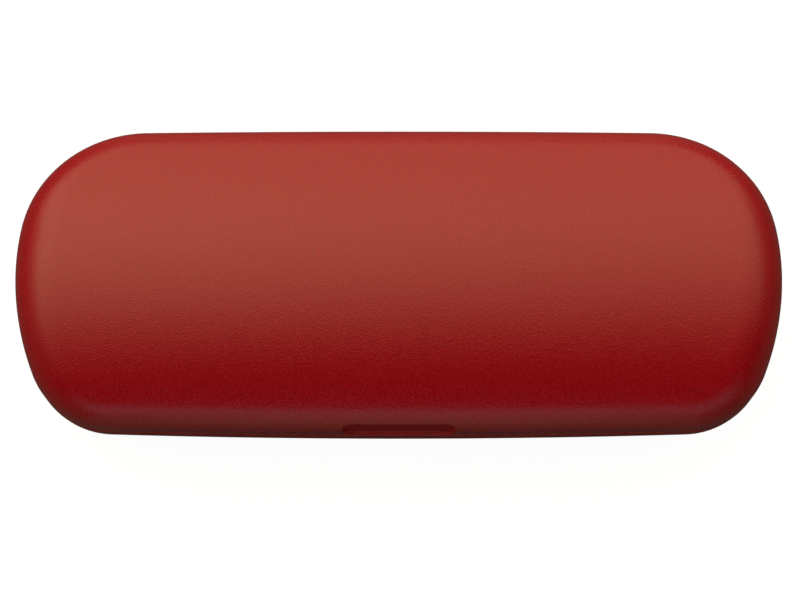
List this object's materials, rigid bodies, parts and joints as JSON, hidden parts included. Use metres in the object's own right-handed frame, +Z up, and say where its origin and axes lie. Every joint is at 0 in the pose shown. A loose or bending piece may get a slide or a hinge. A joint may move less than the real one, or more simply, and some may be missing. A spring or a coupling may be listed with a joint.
{
  "type": "eyeglasses case",
  "caption": "Hard clam-shell spectacle case in red leatherette over padded steel shells, with a thumb recess, a cloth lining and a sprung hinge along the back.",
  "frame": {"origin": "under the middle of the base, on the surface that the case rests on", "axes": "+X along the case, -Y towards the opening side with the thumb recess, +Y towards the hinge, +Z up"},
  "size_m": [0.16, 0.064, 0.042],
  "materials": {
    "leatherette": "semi-matt fine-grained polyurethane leatherette",
    "foam": "thin sponge padding",
    "pressed_steel": "stamped sheet",
    "tray_board": "thermoformed sheet",
    "lining_cloth": "short flocked pile",
    "hinge_steel": "nickel-plated sheet",
    "spring_steel": "blued spring strip"
  },
  "bodies": {
    "base": {"base_cover": "leatherette", "base_padding": "foam", "base_shell": "pressed_steel", "base_lining_tray": "tray_board", "base_lining_cloth": "lining_cloth", "base_hinge_leaf": "hinge_steel", "left_hinge_spring": "spring_steel", "right_hinge_spring": "spring_steel", "hinge_pin": "hinge_steel", "base_rivets": "hinge_steel"},
    "lid": {"lid_cover": "leatherette", "lid_padding": "foam", "lid_shell": "pressed_steel", "lid_lining_tray": "tray_board", "lid_lining_cloth": "lining_cloth", "lid_hinge_leaf": "hinge_steel", "lid_rivets": "hinge_steel"}
  },
  "joints": [
    {"name": "lid_hinge", "type": "hinge", "parent": "base", "child": "lid", "pos_m": [0, 0.03045, 0.0205], "axis": [-1, 0, 0], "range_deg": [0, 100], "deforming": ["left_hinge_spring", "right_hinge_spring"]}
  ]
}
